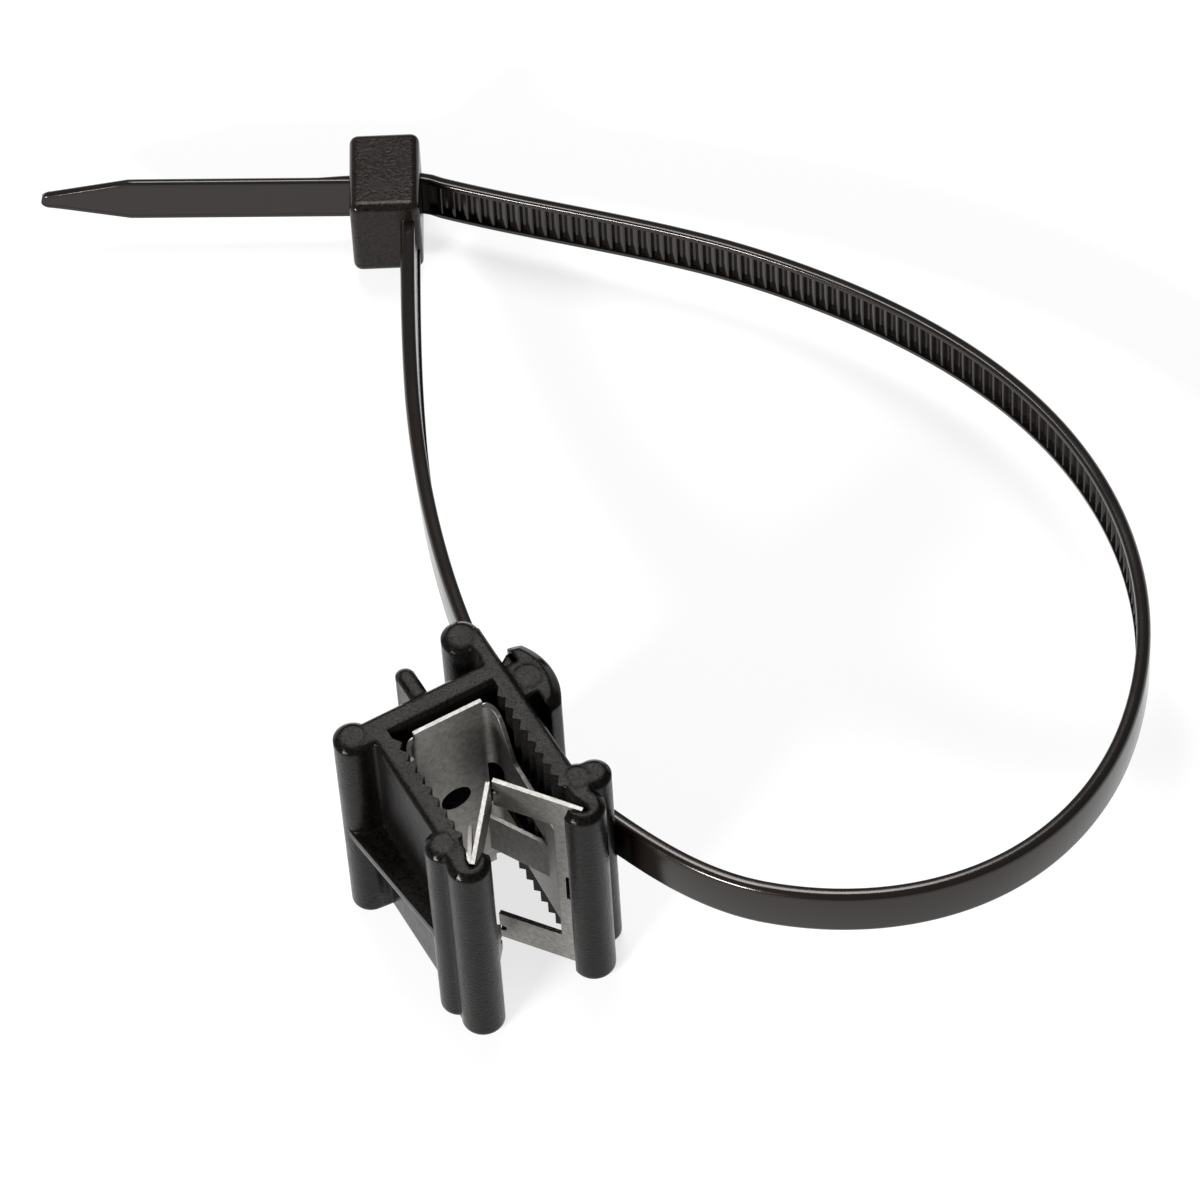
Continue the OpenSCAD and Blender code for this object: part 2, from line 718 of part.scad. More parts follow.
module cable_tie() {
    half_w = strap_w / 2;
    outer = backward(outer_side());
    color("#353331")
        translate(saddle)
            rotate(-tilt, v = [cos(tilt_axis), sin(tilt_axis), 0]) {
                difference() {
                    union() {
                        raised(rail_w - half_w, half_w - rail_w)
                            polygon(concat(toothed_side(), outer));
                        for (low = [-half_w, half_w - rail_w])
                            raised(low, low + rail_w)
                                polygon(concat(rail_side(), outer));
                    }
                    translate(tip_end)
                        rotate([90, 0, tail_way - 180])
                            linear_extrude(4 * strap_t, center = true)
                                tip_waste();
                }
                translate([head_x, head_y, 0])
                    rotate(head_turn)
                        tie_head();
            }
}

clip_body();
spring_clip();
cable_tie();
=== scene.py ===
"""Looks for the panel-edge clip and its cable tie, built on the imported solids."""

from bisect import bisect_right
from math import cos, pi, radians, sin, sqrt

import bmesh
import bpy
from bpy.props import FloatProperty, FloatVectorProperty, PointerProperty
from mathutils import Matrix, Vector
from mathutils.geometry import interpolate_bezier


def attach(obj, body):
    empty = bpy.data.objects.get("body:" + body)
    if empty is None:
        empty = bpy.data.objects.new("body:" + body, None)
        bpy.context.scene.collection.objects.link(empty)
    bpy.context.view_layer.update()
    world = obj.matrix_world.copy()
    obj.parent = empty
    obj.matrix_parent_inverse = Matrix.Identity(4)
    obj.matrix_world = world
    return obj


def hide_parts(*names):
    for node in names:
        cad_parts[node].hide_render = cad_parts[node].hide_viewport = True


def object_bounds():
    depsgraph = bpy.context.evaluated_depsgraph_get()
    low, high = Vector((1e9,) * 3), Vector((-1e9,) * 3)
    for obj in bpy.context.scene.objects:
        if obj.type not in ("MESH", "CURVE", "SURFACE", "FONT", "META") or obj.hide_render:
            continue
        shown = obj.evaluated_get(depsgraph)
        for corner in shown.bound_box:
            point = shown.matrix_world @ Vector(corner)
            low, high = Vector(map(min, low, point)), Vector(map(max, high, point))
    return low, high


bl_info = {
    "name": "Panel-edge clip with cable tie",
    "version": (1, 0, 0),
    "blender": (4, 5, 0),
    "location": "View3D > Sidebar > Wire clip",
    "description": "Dresses a moulded panel clip, its spring and its cable tie",
    "category": "Object",
}

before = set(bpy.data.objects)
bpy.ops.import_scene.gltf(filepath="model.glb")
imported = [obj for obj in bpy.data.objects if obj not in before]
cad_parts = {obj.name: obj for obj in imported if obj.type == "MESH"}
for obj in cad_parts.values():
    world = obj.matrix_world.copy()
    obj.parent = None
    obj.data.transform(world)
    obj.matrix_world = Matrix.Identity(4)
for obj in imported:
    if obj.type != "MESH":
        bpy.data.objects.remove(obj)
CAD_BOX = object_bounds()
MM = 0.001


def linear(hex_colour):
    """Linear colour of an sRGB hex value."""
    channels = [int(hex_colour[i:i + 2], 16) / 255 for i in (0, 2, 4)]
    return tuple(c / 12.92 if c <= 0.04045 else ((c + 0.055) / 1.055) ** 2.4 for c in channels)


def colour_property(name, description, hex_colour):
    """A colour that the panel shows, with its default from a hex value."""
    return FloatVectorProperty(
        name=name, description=description, subtype="COLOR", size=3, min=0, max=1,
        default=linear(hex_colour))


class ClipLooks(bpy.types.PropertyGroup):
    """Finish of the moulded clip body."""

    colour: colour_property("Nylon", "Colour of the moulded clip", "0c0b0a")
    roughness: FloatProperty(
        name="Roughness", description="Roughness of the spark-eroded skin",
        default=0.2, min=0, max=1, subtype="FACTOR")
    grain: FloatProperty(
        name="Grain", description="Width of one speck of the skin",
        default=0.26 * MM, min=0.02 * MM, max=1 * MM, unit="LENGTH")
    edge: FloatProperty(
        name="Edge rounding", description="Rounding that the mould leaves on an edge",
        default=0.5 * MM, min=0, max=1 * MM, unit="LENGTH")


class TieLooks(bpy.types.PropertyGroup):
    """Finish and small sizes of the cable tie."""

    colour: colour_property("Nylon", "Colour of the moulded tie", "151210")
    strap_roughness: FloatProperty(
        name="Strap roughness", description="Roughness of the polished strap",
        default=0.16, min=0, max=1, subtype="FACTOR")
    head_roughness: FloatProperty(
        name="Head roughness", description="Roughness of the head's spark-eroded skin",
        default=0.23, min=0, max=1, subtype="FACTOR")
    head_grain: FloatProperty(
        name="Head grain", description="Size of the grain on the head",
        default=0.28 * MM, min=0.05 * MM, max=2 * MM, unit="LENGTH")
    outer_round: FloatProperty(
        name="Outer rounding", description="Rounding of the strap's outer edges",
        default=0.6 * MM, min=0.1 * MM, max=0.65 * MM, unit="LENGTH")
    rail_round: FloatProperty(
        name="Rail rounding", description="Rounding of the rails beside the teeth",
        default=0.3 * MM, min=0.05 * MM, max=0.4 * MM, unit="LENGTH")
    head_round: FloatProperty(
        name="Head rounding", description="Rounding of the head's edges",
        default=0.8 * MM, min=0.2 * MM, max=1.2 * MM, unit="LENGTH")


class SpringLooks(bpy.types.PropertyGroup):
    """Finish of the spring sheet."""

    colour: colour_property("Steel", "Colour of the rolled sheet", "96938f")
    cut_colour: colour_property("Sheared edge", "Colour of the bright cut edges", "82807d")
    roughness: FloatProperty(
        name="Roughness", description="Roughness of the rolled sheet",
        default=0.45, min=0, max=1, subtype="FACTOR")


class StageLooks(bpy.types.PropertyGroup):
    """Floor and surroundings."""

    floor_colour: colour_property("Floor", "Colour of the floor", "8c8c8c")
    floor_lift: FloatProperty(
        name="Floor lift", description="Added brightness of the floor where it is seen",
        default=0.75, min=0, max=1, subtype="FACTOR")
    sky_level: FloatProperty(
        name="Sky level", description="Brightness of the surroundings as a light",
        default=0.22, min=0, max=2)


def add_node(tree, kind, inputs=None, **settings):
    """Adds one node, sets its values and links its sockets."""
    node = tree.nodes.new(kind)
    for name, value in settings.items():
        setattr(node, name, value)
    for socket, value in (inputs or {}).items():
        if isinstance(value, bpy.types.NodeSocket):
            tree.links.new(value, node.inputs[socket])
        else:
            node.inputs[socket].default_value = value
    return node


def new_material(name):
    """An empty node material and its tree."""
    material = bpy.data.materials.new(name)
    material.use_nodes = True
    material.node_tree.nodes.clear()
    return material, material.node_tree


def finish_material(tree, shader):
    """Links a shader to the material's output."""
    add_node(tree, "ShaderNodeOutputMaterial", {"Surface": shader.outputs[0]})


def dress(node, material):
    """Gives a solid one material in place of its own. A solid without a slot is an error."""
    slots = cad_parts[node].material_slots
    if not slots:
        raise RuntimeError(f"{node} has no material slot")
    for slot in slots:
        slot.material = material


def opaque(colour):
    """A colour with full cover."""
    return (*colour, 1.0)


# Share of each noise that the looks are spread over
NOISE_LOW = 0.3
NOISE_HIGH = 0.7
# Gloss of black nylon: warm tone, refraction, and its level on the clip, the head and the strap
SHEEN = opaque(linear("fff7f3"))
NYLON_IOR = 1.53
CLIP_GLOSS = 0.085
HEAD_GLOSS = 0.19
STRAP_GLOSS = 0.36
# Skin of the mould: depth and strength of the specks, size and spread of the satin clouds
SPECK_DEPTH = 0.08 * MM
SPECK_RELIEF = 0.7
CLOUD = 2.5 * MM
CLOUD_SPREAD = 0.06
# Dust: how far it darkens and lightens the colour, and the share of the specks that it follows
DUST = (0.4, 1.8)
DUST_FROM = (0.35, 0.65)
# Slope of a rounded rim where its polish begins and is full, and the relief and roughness there
RIM_FROM = 0.08
RIM_FULL = 0.22
RIM_RELIEF = 0.04
RIM_ROUGHNESS = 0.08
# Field of the saw teeth in the jaws, whose edges stay sharp: reach to each side, middle and half
TEETH_REACH = 5.4 * MM
TEETH_MIDDLE = 10.3 * MM
TEETH_HALF = 6.1 * MM


# Black PA66 from a spark-eroded mould: satin, with fine specks and soft rounded edges.
def moulded_nylon(name, colour, roughness, grain, edge, level):
    material, tree = new_material(name)
    place = add_node(tree, "ShaderNodeTexCoord").outputs["Object"]
    rounding = add_node(tree, "ShaderNodeBevel", {"Radius": edge}, samples=8)
    spot = add_node(tree, "ShaderNodeSeparateXYZ", {0: place})
    across = add_node(tree, "ShaderNodeMath", {
        0: spot.outputs["X"], 1: 0.0, 2: TEETH_REACH}, operation="COMPARE")
    along = add_node(tree, "ShaderNodeMath", {
        0: spot.outputs["Y"], 1: TEETH_MIDDLE, 2: TEETH_HALF}, operation="COMPARE")
    teeth = add_node(tree, "ShaderNodeMath", {
        0: across.outputs[0], 1: along.outputs[0]}, operation="MULTIPLY")
    normal = add_node(tree, "ShaderNodeMix", {
        "Factor": teeth.outputs[0], "A": rounding.outputs["Normal"],
        "B": add_node(tree, "ShaderNodeNewGeometry").outputs["Normal"]}, data_type="VECTOR")
    facing = add_node(tree, "ShaderNodeSeparateXYZ", {0: normal.outputs["Result"]})
    slope = add_node(tree, "ShaderNodeMath", {0: facing.outputs["Z"], 1: 0.5}, operation="PINGPONG")
    specks = add_node(tree, "ShaderNodeTexNoise", {
        "Vector": place, "Scale": 1 / grain, "Detail": 3.0, "Roughness": 0.65})
    relief = add_node(tree, "ShaderNodeMapRange", {
        "Value": slope.outputs[0], "From Min": RIM_FROM, "From Max": RIM_FULL,
        "To Min": SPECK_RELIEF, "To Max": RIM_RELIEF})
    bump = add_node(tree, "ShaderNodeBump", {
        "Height": specks.outputs["Fac"], "Strength": relief.outputs[0], "Distance": SPECK_DEPTH,
        "Normal": normal.outputs["Result"]})
    clouds = add_node(tree, "ShaderNodeTexNoise", {
        "Vector": place, "Scale": 1 / CLOUD, "Detail": 3.0})
    satin = add_node(tree, "ShaderNodeMapRange", {
        "Value": clouds.outputs["Fac"], "From Min": NOISE_LOW, "From Max": NOISE_HIGH,
        "To Min": roughness - CLOUD_SPREAD, "To Max": roughness + CLOUD_SPREAD})
    gloss = add_node(tree, "ShaderNodeMapRange", {
        "Value": slope.outputs[0], "From Min": RIM_FROM, "From Max": RIM_FULL,
        "To Min": satin.outputs[0], "To Max": RIM_ROUGHNESS})
    dust = add_node(tree, "ShaderNodeMapRange", {
        "Value": specks.outputs["Fac"], "From Min": DUST_FROM[0], "From Max": DUST_FROM[1],
        "To Min": DUST[0], "To Max": DUST[1]})
    tone = add_node(tree, "ShaderNodeVectorMath", {
        0: colour, "Scale": dust.outputs[0]}, operation="SCALE")
    shader = add_node(tree, "ShaderNodeBsdfPrincipled", {
        "Base Color": tone.outputs[0], "Roughness": gloss.outputs[0],
        "IOR": NYLON_IOR, "Specular IOR Level": level, "Specular Tint": SHEEN,
        "Normal": bump.outputs[0]})
    finish_material(tree, shader)
    return material


# Strap: size, depth and strength of the flow ripples, size of the gloss clouds and their spread
RIPPLE = 0.5 * MM
RIPPLE_DEPTH = 0.02 * MM
RIPPLE_RELIEF = 0.12
GLOSS_CLOUD = 6 * MM
GLOSS_BELOW = 0.03
GLOSS_ABOVE = 0.04


# Black PA66 from a polished mould: glossy, with long clear reflections and faint flow ripples.
def strap_nylon(looks):
    material, tree = new_material("polished black nylon")
    place = add_node(tree, "ShaderNodeTexCoord").outputs["Object"]
    ripples = add_node(tree, "ShaderNodeTexNoise", {
        "Vector": place, "Scale": 1 / RIPPLE, "Detail": 3.0})
    bump = add_node(tree, "ShaderNodeBump", {
        "Height": ripples.outputs["Fac"], "Strength": RIPPLE_RELIEF, "Distance": RIPPLE_DEPTH})
    clouds = add_node(tree, "ShaderNodeTexNoise", {
        "Vector": place, "Scale": 1 / GLOSS_CLOUD, "Detail": 4.0})
    gloss = add_node(tree, "ShaderNodeMapRange", {
        "Value": clouds.outputs["Fac"], "From Min": NOISE_LOW, "From Max": NOISE_HIGH,
        "To Min": looks.strap_roughness - GLOSS_BELOW,
        "To Max": looks.strap_roughness + GLOSS_ABOVE})
    shader = add_node(tree, "ShaderNodeBsdfPrincipled", {
        "Base Color": opaque(looks.colour), "Roughness": gloss.outputs[0],
        "IOR": NYLON_IOR, "Specular IOR Level": STRAP_GLOSS, "Specular Tint": SHEEN,
        "Normal": bump.outputs[0]})
    finish_material(tree, shader)
    return material


# Steel: rounding of its edges, then size, depth and strength of the mottle, and its stain
STEEL_EDGE = 0.08 * MM
MOTTLE = 0.4 * MM
MOTTLE_DEPTH = 0.05 * MM
MOTTLE_RELIEF = 0.5
STAIN = (0.72, 1.25)
# Upright share of a face's direction that marks a cut edge
CUT_FROM = (0.6, 0.8)


# Cold-rolled spring steel: grey satin sheet with a fine mottle and bright sheared edges.
def spring_steel(looks):
    material, tree = new_material("rolled spring steel")
    place = add_node(tree, "ShaderNodeTexCoord").outputs["Object"]
    rounding = add_node(tree, "ShaderNodeBevel", {"Radius": STEEL_EDGE}, samples=6)
    mottle = add_node(tree, "ShaderNodeTexNoise", {
        "Vector": place, "Scale": 1 / MOTTLE, "Detail": 4.0, "Roughness": 0.65})
    bump = add_node(tree, "ShaderNodeBump", {
        "Height": mottle.outputs["Fac"], "Strength": MOTTLE_RELIEF, "Distance": MOTTLE_DEPTH,
        "Normal": rounding.outputs["Normal"]})
    facing = add_node(tree, "ShaderNodeNewGeometry").outputs["True Normal"]
    parts = add_node(tree, "ShaderNodeSeparateXYZ", {"Vector": facing})
    upright = add_node(tree, "ShaderNodeMath", {0: parts.outputs["Z"]}, operation="ABSOLUTE")
    cut = add_node(tree, "ShaderNodeMapRange", {
        "Value": upright.outputs[0], "From Min": CUT_FROM[0], "From Max": CUT_FROM[1]})
    stain = add_node(tree, "ShaderNodeMapRange", {
        "Value": mottle.outputs["Fac"], "From Min": NOISE_LOW, "From Max": NOISE_HIGH,
        "To Min": STAIN[0], "To Max": STAIN[1]})
    tone = add_node(tree, "ShaderNodeMix", {
        "Factor": cut.outputs[0], "A": opaque(looks.colour), "B": opaque(looks.cut_colour)},
        data_type="RGBA")
    stained = add_node(tree, "ShaderNodeVectorMath", {
        0: tone.outputs["Result"], "Scale": stain.outputs[0]}, operation="SCALE")
    shader = add_node(tree, "ShaderNodeBsdfPrincipled", {
        "Base Color": stained.outputs[0], "Metallic": 1.0,
        "Roughness": looks.roughness, "Normal": bump.outputs[0]})
    finish_material(tree, shader)
    return material


class WIRECLIP_OT_clip_body(bpy.types.Operator):
    """Dress the moulded clip body."""

    bl_idname = "wireclip.clip_body"
    bl_label = "Clip body"

    def execute(self, context):
        looks = context.scene.wireclip_clip
        dress("clip_body", moulded_nylon(
            "moulded black nylon", looks.colour, looks.roughness, looks.grain, looks.edge,
            CLIP_GLOSS))
        return {"FINISHED"}


class WIRECLIP_OT_spring(bpy.types.Operator):
    """Dress the folded spring sheet."""

    bl_idname = "wireclip.spring"
    bl_label = "Spring"

    def execute(self, context):
        dress("spring_clip", spring_steel(context.scene.wireclip_spring))
        return {"FINISHED"}


# Plane of the tie: it lies through the saddle and tilts down to the head. Millimetres and degrees.
SADDLE = Vector((7.46, 15.4, 0))
TIE_TILT = 6.7
TIE_AXIS = -30.4
# Route of the strap in that plane, from the head to the tip: place from the saddle and heading
STRAP_ROUTE = (
    (20.130, 59.221, -118.0), (10.114, 39.568, -114.9), (2.757, 19.695, -105.2),
    (0.0, 0.0, -90.0), (1.968, -10.642, -72.0), (9.031, -23.715, -43.9),
    (29.706, -30.969, 8.2), (44.077, -23.777, 43.0), (56.743, 6.069, 90.0),
    (44.986, 38.616, 124.8), (24.674, 61.573, 130.3), (23.381, 63.098, 152.0),
    (17.818, 66.056, 149.5), (-6.394, 80.318, 149.5))
ROUTE_STEPS = 24
# Section of the strap in millimetres: half measures, rails and the depths of the toothed band
STRAP_HALF_W = 2.3
STRAP_HALF_T = 0.6
RAIL = 0.55
BAND_FLOOR = 0.05
TOOTH_TIP = 0.5
SEAM = 0.02
# Steps of each rounding, and the most that a rounding or a rail takes of a narrow section
OUTER_STEPS = 6
RAIL_STEPS = 4
OUTER_OF_WIDTH = 0.9
OUTER_OF_DEPTH = 0.65
RAIL_ROUND_OF_WIDTH = 0.3
RAIL_OF_WIDTH = 0.5
# Neck beside the head: thicker than the strap, with a shallow dip, turned a little about its length
NECK_MORE = 0.06
NECK_DIP = 0.14
NECK_TURN = -5.0
NECK_FROM = 22.0
NECK_END = 45.0
# Ladder of teeth: plain start, pitch, count, and one tooth as shares of its pitch and height
PLAIN_LENGTH = 38.0
TOOTH_PITCH = 1.235
TOOTH_COUNT = 154
TOOTH_OUTLINE = ((0.0, 0.0), (0.12, 0.88), (0.2, 1.0), (0.3, 0.93), (0.82, 0.0))
# Steps along the plain strap, and to each side of a place where the strap's heading is measured
PLAIN_STEP = 1.0
WAY_STEP = 0.3
# Tail behind the head: length, thin back face, taper, tip, and where its first section stands
TAIL_LENGTH = 28.1
TAIL_BACK = -0.35
TAIL_RAMP = 3.0
TAPER = 8.0
TIP_HALF = 0.85
TIP_STEPS = 8
TIP_SHARE = 0.96
TAIL_LEAD = 0.1
# Angle between faces above which the edge of the tie stays sharp, in degrees
CREASE = 32
# Soft edge of the head's material in metres, and the steps of its rounded edges
HEAD_EDGE = 0.15 * MM
HEAD_SEGMENTS = 6
# Head in its own frame in millimetres, x along the passage, y along the strap that leaves it
HEAD_PLACE = Vector((17.9, 59.5, 0))
HEAD_TURN = -28.0
HEAD_SIZE = Vector((6.3, 9.5, 8.4))
PASSAGE_Y = 5.75
PASSAGE_SIZE = Vector((14.0, 1.64, 5.04))
PAWL_ROOM = (Vector((-7.0, 2.3, -1.8)), Vector((1.55, 5.2, 1.8)))
PAWL_SIDE = 1.6
PAWL_OUTLINE = (
    (1.95, 2.7), (1.95, 4.78), (0.5, 4.78), (0.4, 4.43), (-0.4, 4.78), (-0.5, 4.43),
    (-1.3, 4.78), (-1.4, 4.43), (-0.9, 3.2))


def tie_plane():
    """Turns millimetres in the plane of the tie to metres in the model."""
    axis = Vector((cos(radians(TIE_AXIS)), sin(radians(TIE_AXIS)), 0))
    tilt = Matrix.Rotation(radians(-TIE_TILT), 4, axis)
    return Matrix.Scale(MM, 4) @ Matrix.Translation(SADDLE) @ tilt


def bearing(degrees):
    """Unit vector with a heading in the plane of the tie."""
    return Vector((cos(radians(degrees)), sin(radians(degrees)), 0))


def strap_line():
    """Points of the strap's middle line, and the length run at each of them."""
    points = []
    for (x0, y0, way0), (x1, y1, way1) in zip(STRAP_ROUTE, STRAP_ROUTE[1:]):
        start = Vector((x0, y0, 0))
        end = Vector((x1, y1, 0))
        # Pull that makes the curve close to an arc where the heading turns evenly
        pull = (end - start).length / cos(radians((way1 - way0) / 4)) ** 2 / 3
        points += interpolate_bezier(
            start, start + pull * bearing(way0), end - pull * bearing(way1), end,
            ROUTE_STEPS + 1)[:-1]
    points.append(end)
    lengths = [0.0]
    for here, there in zip(points, points[1:]):
        lengths.append(lengths[-1] + (there - here).length)
    return points, lengths


def ramp(value, start, end):
    """Share of the way from start to end, kept between nought and one."""
    return min(max((value - start) / (end - start), 0.0), 1.0)


def strap_ring(inner, band, outer, half, looks):
    """Section of the strap: rounded outer edges, a rail at each inner edge, the band between."""
    outer_round = min(
        looks.outer_round / MM, OUTER_OF_WIDTH * half, OUTER_OF_DEPTH * (inner - outer))
    rail_round = min(looks.rail_round / MM, RAIL_ROUND_OF_WIDTH * half)
    rail = min(RAIL, RAIL_OF_WIDTH * half)
    upper = []
    for step in range(OUTER_STEPS + 1):
        turn = pi - step / OUTER_STEPS * pi / 2
        upper.append((outer + outer_round * (1 + cos(turn)), half - outer_round * (1 - sin(turn))))
    for step in range(RAIL_STEPS + 1):
        turn = pi / 2 - step / RAIL_STEPS * pi / 2
        upper.append((inner - rail_round * (1 - cos(turn)), half - rail_round * (1 - sin(turn))))
    upper += [(inner, half - rail), (band, half - rail)]
    return upper + [(depth, -height) for depth, height in reversed(upper)]


def strap_stations(length):
    """Lengths at which the section is set, each with the height of a tooth there or none."""
    plain_steps = int(PLAIN_LENGTH / PLAIN_STEP)
    stations = [(step * PLAIN_STEP, None) for step in range(plain_steps)]
    for tooth in range(TOOTH_COUNT):
        for share, height in TOOTH_OUTLINE:
            stations.append((PLAIN_LENGTH + (tooth + share) * TOOTH_PITCH, height))
    last = PLAIN_LENGTH + TOOTH_COUNT * TOOTH_PITCH
    stations.append((last, 0.0))
    tail_end = length - TIP_HALF
    tail_steps = int((tail_end - last) / PLAIN_STEP)
    for step in range(tail_steps + 1):
        share = (step + TAIL_LEAD) / (tail_steps + TAIL_LEAD)
        stations.append((last + share * (tail_end - last), None))
    for step in range(1, TIP_STEPS + 1):
        turn = TIP_SHARE * step / TIP_STEPS * pi / 2
        stations.append((tail_end + TIP_HALF * sin(turn), None))
    return stations


def strap_mesh(looks):
    """Sweeps the section of the strap along its route."""
    points, lengths = strap_line()
    length = lengths[-1]
    plane = tie_plane()

    def spot(run):
        index = min(max(bisect_right(lengths, run) - 1, 0), len(points) - 2)
        share = (run - lengths[index]) / (lengths[index + 1] - lengths[index])
        return points[index].lerp(points[index + 1], share)

    shape = bmesh.new()
    rings = []
    tail_start = length - TAIL_LENGTH
    for run, tooth in strap_stations(length):
        way = (spot(run + WAY_STEP) - spot(run - WAY_STEP)).normalized()
        side = Vector((-way.y, way.x, 0))
        neck = 1 - ramp(run, NECK_FROM, NECK_END)
        roll = Matrix.Rotation(radians(NECK_TURN * neck), 3, -way)
        inner = STRAP_HALF_T + NECK_MORE * neck
        outer = -STRAP_HALF_T - NECK_MORE * neck
        outer += ramp(run, tail_start, tail_start + TAIL_RAMP) * (TAIL_BACK + STRAP_HALF_T)
        half = STRAP_HALF_W
        half -= ramp(run, length - TAPER, length - TIP_HALF) * (STRAP_HALF_W - TIP_HALF)
        past = max(run - (length - TIP_HALF), 0.0)
        if past:
            half = sqrt(TIP_HALF ** 2 - past ** 2)
        if tooth is None:
            band = inner - SEAM - NECK_DIP * neck
        else:
            band = BAND_FLOOR + tooth * (TOOTH_TIP - BAND_FLOOR)
        ring = []
        for depth, height in strap_ring(inner, band, outer, half, looks):
            place = spot(run) + roll @ (depth * side + Vector((0, 0, height)))
            ring.append(shape.verts.new(plane @ place))
        rings.append(ring)
    for ring, following in zip(rings, rings[1:]):
        for index in range(len(ring)):
            after = (index + 1) % len(ring)
            shape.faces.new((ring[index], ring[after], following[after], following[index]))
    shape.faces.new(rings[0])
    shape.faces.new(reversed(rings[-1]))
    bmesh.ops.recalc_face_normals(shape, faces=shape.faces)
    mesh = bpy.data.meshes.new("tie_strap")
    shape.to_mesh(mesh)
    shape.free()
    return mesh


def box_object(name, low, high, rounding=0.0):
    """A box between two corners, with rounded edges where a radius is given."""
    shape = bmesh.new()
    bmesh.ops.create_cube(shape, size=1)
    size = high - low
    for vert in shape.verts:
        vert.co = low + Vector([(c + 0.5) * s for c, s in zip(vert.co, size)])
    if rounding:
        bmesh.ops.bevel(
            shape, geom=shape.edges, offset=rounding, segments=HEAD_SEGMENTS, profile=0.5,
            affect="EDGES")
    mesh = bpy.data.meshes.new(name)
    shape.to_mesh(mesh)
    shape.free()
    box = bpy.data.objects.new(name, mesh)
    bpy.context.scene.collection.objects.link(box)
    return box


def head_mesh(looks):
    """Rounded block with the passage of the strap, the pawl room and the pawl."""
    corner = Vector((-HEAD_SIZE.x / 2, 0, -HEAD_SIZE.z / 2))
    block = box_object("head block", corner, corner + HEAD_SIZE, looks.head_round / MM)
    middle = Vector((0, PASSAGE_Y, 0))
    cutters = [
        box_object("passage", middle - PASSAGE_SIZE / 2, middle + PASSAGE_SIZE / 2),
        box_object("pawl room", *PAWL_ROOM)]
    for cutter in cutters:
        cut = block.modifiers.new(cutter.name, "BOOLEAN")
        cut.operation = "DIFFERENCE"
        cut.solver = "EXACT"
        cut.object = cutter
    graph = bpy.context.evaluated_depsgraph_get()
    mesh = bpy.data.meshes.new_from_object(block.evaluated_get(graph))
    mesh.name = "tie_head"
    for scrap in (block, *cutters):
        data = scrap.data
        bpy.data.objects.remove(scrap)
        bpy.data.meshes.remove(data)

    shape = bmesh.new()
    shape.from_mesh(mesh)
    sides = [
        [shape.verts.new((x, y, height)) for x, y in PAWL_OUTLINE]
        for height in (-PAWL_SIDE, PAWL_SIDE)]
    low, high = sides
    pawl = [shape.faces.new(low), shape.faces.new(reversed(high))]
    for index in range(len(low)):
        after = (index + 1) % len(low)
        pawl.append(shape.faces.new((low[index], low[after], high[after], high[index])))
    bmesh.ops.recalc_face_normals(shape, faces=pawl)
    turn = Matrix.Rotation(radians(HEAD_TURN), 4, "Z")
    bmesh.ops.transform(
        shape, matrix=tie_plane() @ Matrix.Translation(HEAD_PLACE) @ turn, verts=shape.verts)
    shape.to_mesh(mesh)
    shape.free()
    return mesh


def tie_piece(mesh, material):
    """Puts one part of the tie in place of the plain solid."""
    mesh.materials.clear()
    mesh.materials.append(material)
    mesh.shade_smooth()
    mesh.set_sharp_from_angle(angle=radians(CREASE))
    piece = bpy.data.objects.new(mesh.name, mesh)
    bpy.context.scene.collection.objects.link(piece)
    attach(piece, "root")
    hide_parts("cable_tie")
    return piece


class WIRECLIP_OT_tie(bpy.types.Operator):
    """Build the cable tie: swept strap and moulded head."""

    bl_idname = "wireclip.tie"
    bl_label = "Cable tie"

    def execute(self, context):
        looks = context.scene.wireclip_tie
        tie_piece(strap_mesh(looks), strap_nylon(looks))
        head = tie_piece(head_mesh(looks), moulded_nylon(
            "satin black nylon", looks.colour, looks.head_roughness, looks.head_grain,
            HEAD_EDGE, HEAD_GLOSS))
        flat = head.modifiers.new("flat faces", "WEIGHTED_NORMAL")
        flat.keep_sharp = True
        return {"FINISHED"}


# Camera set from the photograph: place in metres, axes as right, up and backward.
CAMERA_PLACE = Vector((-0.13142, -0.28108, 0.50155))
CAMERA_RIGHT = Vector((0.8701, -0.4912, -0.0380))
CAMERA_UP = Vector((0.42485, 0.70894, 0.56295))
CAMERA_BACK = Vector((-0.24962, -0.50601, 0.82562))
CAMERA_LENS = 213.66
CAMERA_SENSOR = 36
CAMERA_CLIP = (0.01, 10)
# Half the floor's side, and its gap under the part
FLOOR_HALF = 2.0
FLOOR_GAP = 0.02 * MM
# Lamps: place from the middle of the part in metres, width, height and watts
LAMPS = {
    "overhead softbox": (0.8 * Vector((0.17, 0.43, 0.886)), 0.34, 0.34, 4.8),
    "left strip light": (0.6 * Vector((-0.86, -0.34, 0.38)), 0.2, 0.06, 5.5),
}


def seen_rays(tree):
    """One where a ray comes from the camera, a reflection or a transmission."""
    path = add_node(tree, "ShaderNodeLightPath")
    glossy = add_node(tree, "ShaderNodeMath", {
        0: path.outputs["Is Camera Ray"], 1: path.outputs["Is Glossy Ray"]},
        operation="MAXIMUM")
    return add_node(tree, "ShaderNodeMath", {
        0: glossy.outputs[0], 1: path.outputs["Is Transmission Ray"]},
        operation="MAXIMUM").outputs[0]


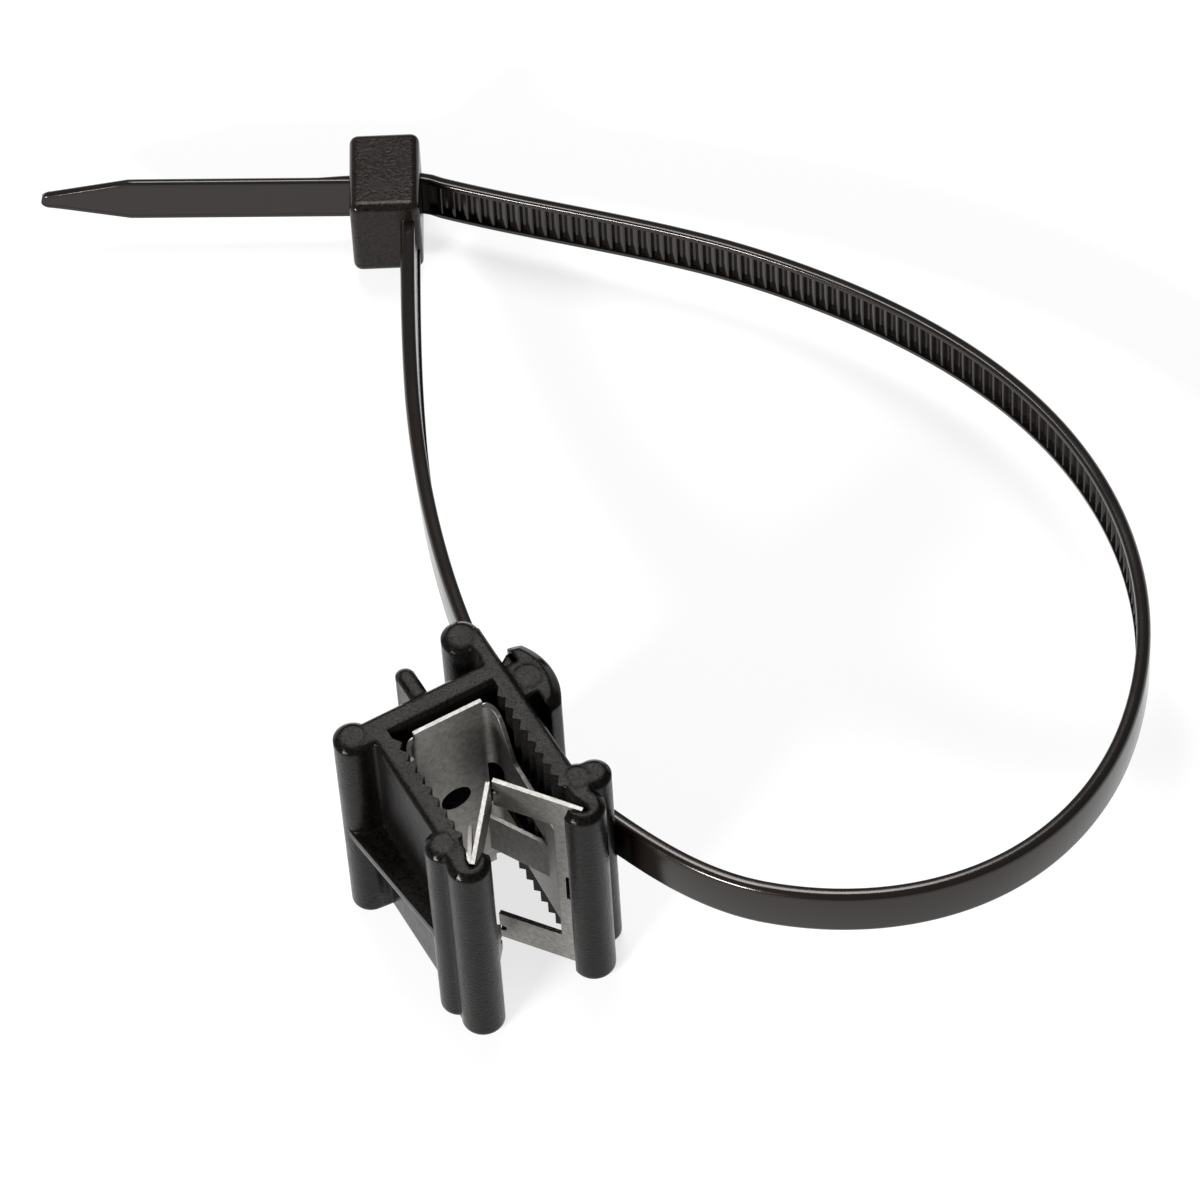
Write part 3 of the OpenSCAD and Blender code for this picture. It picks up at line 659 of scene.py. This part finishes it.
def floor_material(looks):
    """Pale board that is lifted to white where it is seen, and keeps its shadow."""
    material, tree = new_material("pale studio floor")
    lift = add_node(tree, "ShaderNodeMath", {
        0: seen_rays(tree), 1: looks.floor_lift}, operation="MULTIPLY")
    board = add_node(tree, "ShaderNodeBsdfDiffuse", {"Color": opaque(looks.floor_colour)})
    glow = add_node(tree, "ShaderNodeEmission", {"Strength": lift.outputs[0]})
    both = add_node(tree, "ShaderNodeAddShader", {0: board.outputs[0], 1: glow.outputs[0]})
    finish_material(tree, both)
    return material


def softbox(name, place, aim, width, height, power):
    """A rectangular area lamp that faces a point."""
    lamp = bpy.data.lights.new(name, "AREA")
    lamp.shape = "RECTANGLE"
    lamp.size = width
    lamp.size_y = height
    lamp.energy = power
    box = bpy.data.objects.new(name, lamp)
    box.location = place
    box.rotation_euler = (Vector(aim) - Vector(place)).to_track_quat("-Z", "Y").to_euler()
    bpy.context.scene.collection.objects.link(box)


class WIRECLIP_OT_stage(bpy.types.Operator):
    """Set the floor, the light and the camera."""

    bl_idname = "wireclip.stage"
    bl_label = "Stage"

    def execute(self, context):
        looks = context.scene.wireclip_stage
        low, high = CAD_BOX
        middle = (low + high) / 2

        shape = bmesh.new()
        bmesh.ops.create_grid(shape, x_segments=1, y_segments=1, size=FLOOR_HALF)
        mesh = bpy.data.meshes.new("floor")
        shape.to_mesh(mesh)
        shape.free()
        floor = bpy.data.objects.new("floor", mesh)
        floor.location = (middle.x, middle.y, low.z - FLOOR_GAP)
        mesh.materials.append(floor_material(looks))
        context.scene.collection.objects.link(floor)

        for name, (offset, width, height, power) in LAMPS.items():
            softbox(name, middle + offset, middle, width, height, power)

        world = bpy.data.worlds.new("white studio")
        world.use_nodes = True
        tree = world.node_tree
        tree.nodes.clear()
        sky = add_node(tree, "ShaderNodeBackground", {
            "Color": (1, 1, 1, 1), "Strength": looks.sky_level})
        add_node(tree, "ShaderNodeOutputWorld", {"Surface": sky.outputs[0]})
        context.scene.world = world

        data = bpy.data.cameras.new("photo camera")
        data.lens = CAMERA_LENS
        data.sensor_width = CAMERA_SENSOR
        data.clip_start, data.clip_end = CAMERA_CLIP
        camera = bpy.data.objects.new("photo camera", data)
        turn = Matrix((CAMERA_RIGHT, CAMERA_UP, CAMERA_BACK)).transposed()
        camera.matrix_world = Matrix.Translation(CAMERA_PLACE) @ turn.to_4x4()
        context.scene.collection.objects.link(camera)
        context.scene.camera = camera
        context.scene.view_settings.view_transform = "Standard"
        return {"FINISHED"}


class WIRECLIP_PT_panel(bpy.types.Panel):
    """Lists the pieces of the clip."""

    bl_idname = "WIRECLIP_PT_panel"
    bl_label = "Wire clip"
    bl_space_type = "VIEW_3D"
    bl_region_type = "UI"
    bl_category = "Wire clip"

    def draw(self, context):
        for kind in OPERATORS:
            self.layout.operator(kind.bl_idname)


GROUPS = {
    "wireclip_clip": ClipLooks,
    "wireclip_tie": TieLooks,
    "wireclip_spring": SpringLooks,
    "wireclip_stage": StageLooks,
}
OPERATORS = (
    WIRECLIP_OT_clip_body, WIRECLIP_OT_spring, WIRECLIP_OT_tie, WIRECLIP_OT_stage)


def register():
    for name, group in GROUPS.items():
        bpy.utils.register_class(group)
        setattr(bpy.types.Scene, name, PointerProperty(type=group))
    for kind in (*OPERATORS, WIRECLIP_PT_panel):
        bpy.utils.register_class(kind)


def unregister():
    for kind in (WIRECLIP_PT_panel, *reversed(OPERATORS)):
        bpy.utils.unregister_class(kind)
    for name, group in reversed(GROUPS.items()):
        delattr(bpy.types.Scene, name)
        bpy.utils.unregister_class(group)


def main():
    register()
    bpy.ops.wireclip.clip_body()
    bpy.ops.wireclip.spring()
    bpy.ops.wireclip.tie()
    bpy.ops.wireclip.stage()


if __name__ == "__main__":
    main()
